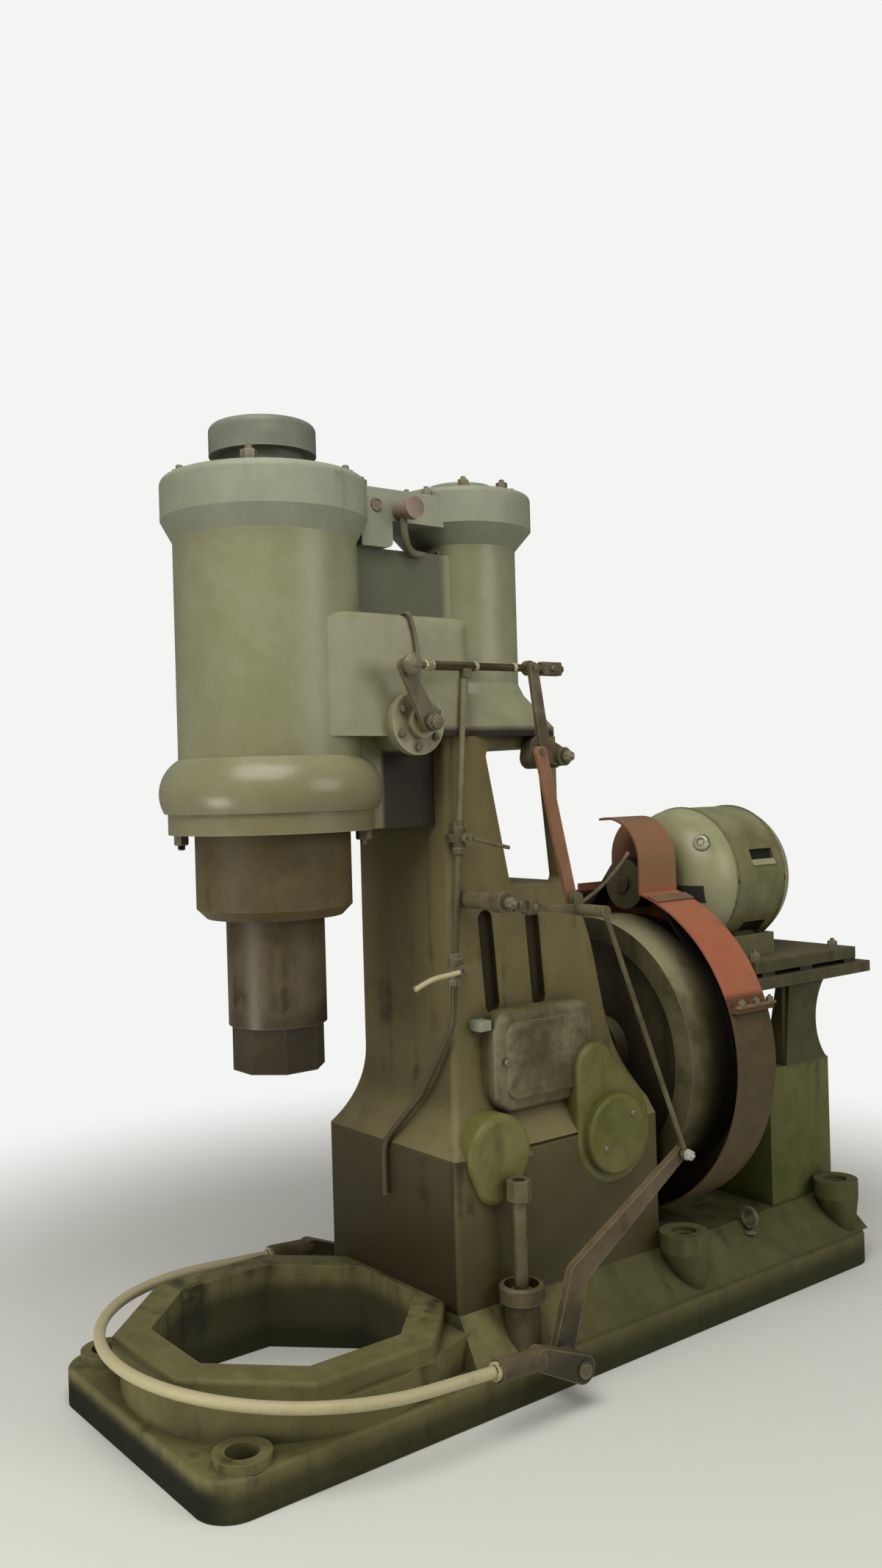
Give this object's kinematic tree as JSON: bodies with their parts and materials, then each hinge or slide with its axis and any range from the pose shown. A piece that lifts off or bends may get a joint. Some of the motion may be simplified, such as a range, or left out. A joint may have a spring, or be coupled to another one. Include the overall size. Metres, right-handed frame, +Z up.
{
  "type": "self-contained power hammer",
  "caption": "Self-contained pneumatic forging hammer with an overhanging ram, rear compressor, belt-driven flywheel, top-mounted motor and a foot treadle; its anvil is missing.",
  "frame": {"origin": "on the floor, at the middle of the four corner anchor bolts", "axes": "+Z up, -Y towards the ram end, +X towards the side with the control linkage"},
  "size_m": [1.056, 2.484, 2.388],
  "materials": {
    "cylinder_paint": "worn satin",
    "frame_paint": "greasy satin",
    "base_paint": "greasy satin",
    "cover_paint": "oily satin",
    "ram_iron": "dark, greasy",
    "wheel_iron": "dusty",
    "steel": "worn",
    "linkage_steel": "dark, oily",
    "red_linkage": "worn",
    "guard_red": "faded",
    "guard_brown": "dusty",
    "motor_paint": "satin",
    "pulley_iron": "worn",
    "belt_rubber": "matt",
    "cup_iron": "rusty",
    "platform_steel": "worn",
    "valve_brass": "painted tip"
  },
  "bodies": {
    "frame": {"base_casting": "base_paint", "frame_column": "frame_paint", "cylinder_block": "cylinder_paint", "ram_cylinder_head": "cylinder_paint", "head_cover": "cylinder_paint", "compressor_head": "cylinder_paint", "ram_guide": "frame_paint", "drive_belts": "belt_rubber", "belt_guard_upper": "guard_red", "belt_guard_lower": "guard_brown", "rear_pedestal": "frame_paint", "motor_bracket": "frame_paint", "motor_platform": "platform_steel", "motor_frame": "motor_paint", "motor_end_bells": "motor_paint", "treadle_axle": "steel", "linkage_bearings": "linkage_steel", "front_valve_cover": "linkage_steel", "drain_pipe": "linkage_steel", "pipe_cocks": "linkage_steel", "inspection_door": "cover_paint", "crankcase_cover": "cover_paint", "shield_boss": "cover_paint", "oil_cup": "cup_iron", "oil_pipe": "steel", "valve_manifold": "linkage_steel", "safety_valve": "valve_brass"},
    "ram": {"ram": "ram_iron", "ram_tup": "ram_iron"},
    "flywheel": {"crankshaft": "steel", "flywheel": "wheel_iron", "drive_sheave": "wheel_iron"},
    "motor_rotor": {"motor_pulley": "pulley_iron", "motor_shaft": "steel"},
    "treadle": {"treadle_bar": "steel", "treadle_lever": "red_linkage", "treadle_far_arm": "linkage_steel"},
    "link_rod": {"link_rod": "steel"},
    "rocker": {"rocker": "linkage_steel"},
    "valve_link": {"valve_link": "red_linkage"},
    "valve_crank": {"valve_crank": "linkage_steel"},
    "tie_rod": {"tie_rod": "steel"},
    "front_valve_lever": {"front_valve_lever": "linkage_steel"},
    "hand_lever": {"hand_lever": "steel"},
    "cock_handle": {"cock_handle": "steel"}
  },
  "joints": [
    {"name": "ram_slide", "type": "slide", "parent": "frame", "child": "ram", "axis": [0, 0, 1], "range_m": [0, 0.33]},
    {"name": "flywheel_spin", "type": "hinge", "parent": "frame", "child": "flywheel", "pos_m": [0, 0.42, 0.705], "axis": [0, 1, 0], "continuous": true},
    {"name": "motor_spin", "type": "hinge", "parent": "frame", "child": "motor_rotor", "pos_m": [0, 0.54, 1.183], "axis": [0, 1, 0], "continuous": true},
    {"name": "treadle_press", "type": "hinge", "parent": "frame", "child": "treadle", "pos_m": [0, -0.215, 0.096], "axis": [1, 0, 0], "range_deg": [0, 2]},
    {"name": "link_rod_pivot", "type": "hinge", "parent": "treadle", "child": "link_rod", "pos_m": [0.457, 0.232, 0.51], "axis": [1, 0, 0], "range_deg": [-4, 0]},
    {"name": "rocker_pivot", "type": "hinge", "parent": "frame", "child": "rocker", "pos_m": [0.358, -0.3, 1.208], "axis": [1, 0, 0], "range_deg": [0, 6]},
    {"name": "valve_link_pivot", "type": "hinge", "parent": "rocker", "child": "valve_link", "pos_m": [0.338, -0.045, 1.2], "axis": [1, 0, 0], "range_deg": [-7, 0]},
    {"name": "valve_crank_pivot", "type": "hinge", "parent": "frame", "child": "valve_crank", "pos_m": [0.324, -0.055, 1.562], "axis": [1, 0, 0], "range_deg": [-18, 0]},
    {"name": "tie_rod_pivot", "type": "hinge", "parent": "valve_crank", "child": "tie_rod", "pos_m": [0.308, -0.142, 1.788], "axis": [1, 0, 0], "range_deg": [0, 18]},
    {"name": "front_valve_pivot", "type": "hinge", "parent": "frame", "child": "front_valve_lever", "pos_m": [0.29, -0.45, 1.65], "axis": [1, 0, 0], "range_deg": [-29, 0]},
    {"name": "hand_lever_turn", "type": "hinge", "parent": "frame", "child": "hand_lever", "pos_m": [0.262, -0.34573, 1.037], "axis": [1, 0, 0], "range_deg": [-60, 20]},
    {"name": "cock_handle_turn", "type": "hinge", "parent": "frame", "child": "cock_handle", "pos_m": [0.262, -0.3212, 1.364], "axis": [1, 0, 0], "range_deg": [0, 60]}
  ],
  "couplings": [
    {"joint": "motor_spin", "follows": "flywheel_spin", "ratio": 4.9737},
    {"joint": "link_rod_pivot", "follows": "treadle_press", "ratio": -1.735},
    {"joint": "rocker_pivot", "follows": "treadle_press", "ratio": 2.46},
    {"joint": "valve_link_pivot", "follows": "treadle_press", "ratio": -2.995},
    {"joint": "valve_crank_pivot", "follows": "treadle_press", "ratio": -8.72},
    {"joint": "tie_rod_pivot", "follows": "treadle_press", "ratio": 8.465},
    {"joint": "front_valve_pivot", "follows": "treadle_press", "ratio": -14.025}
  ]
}
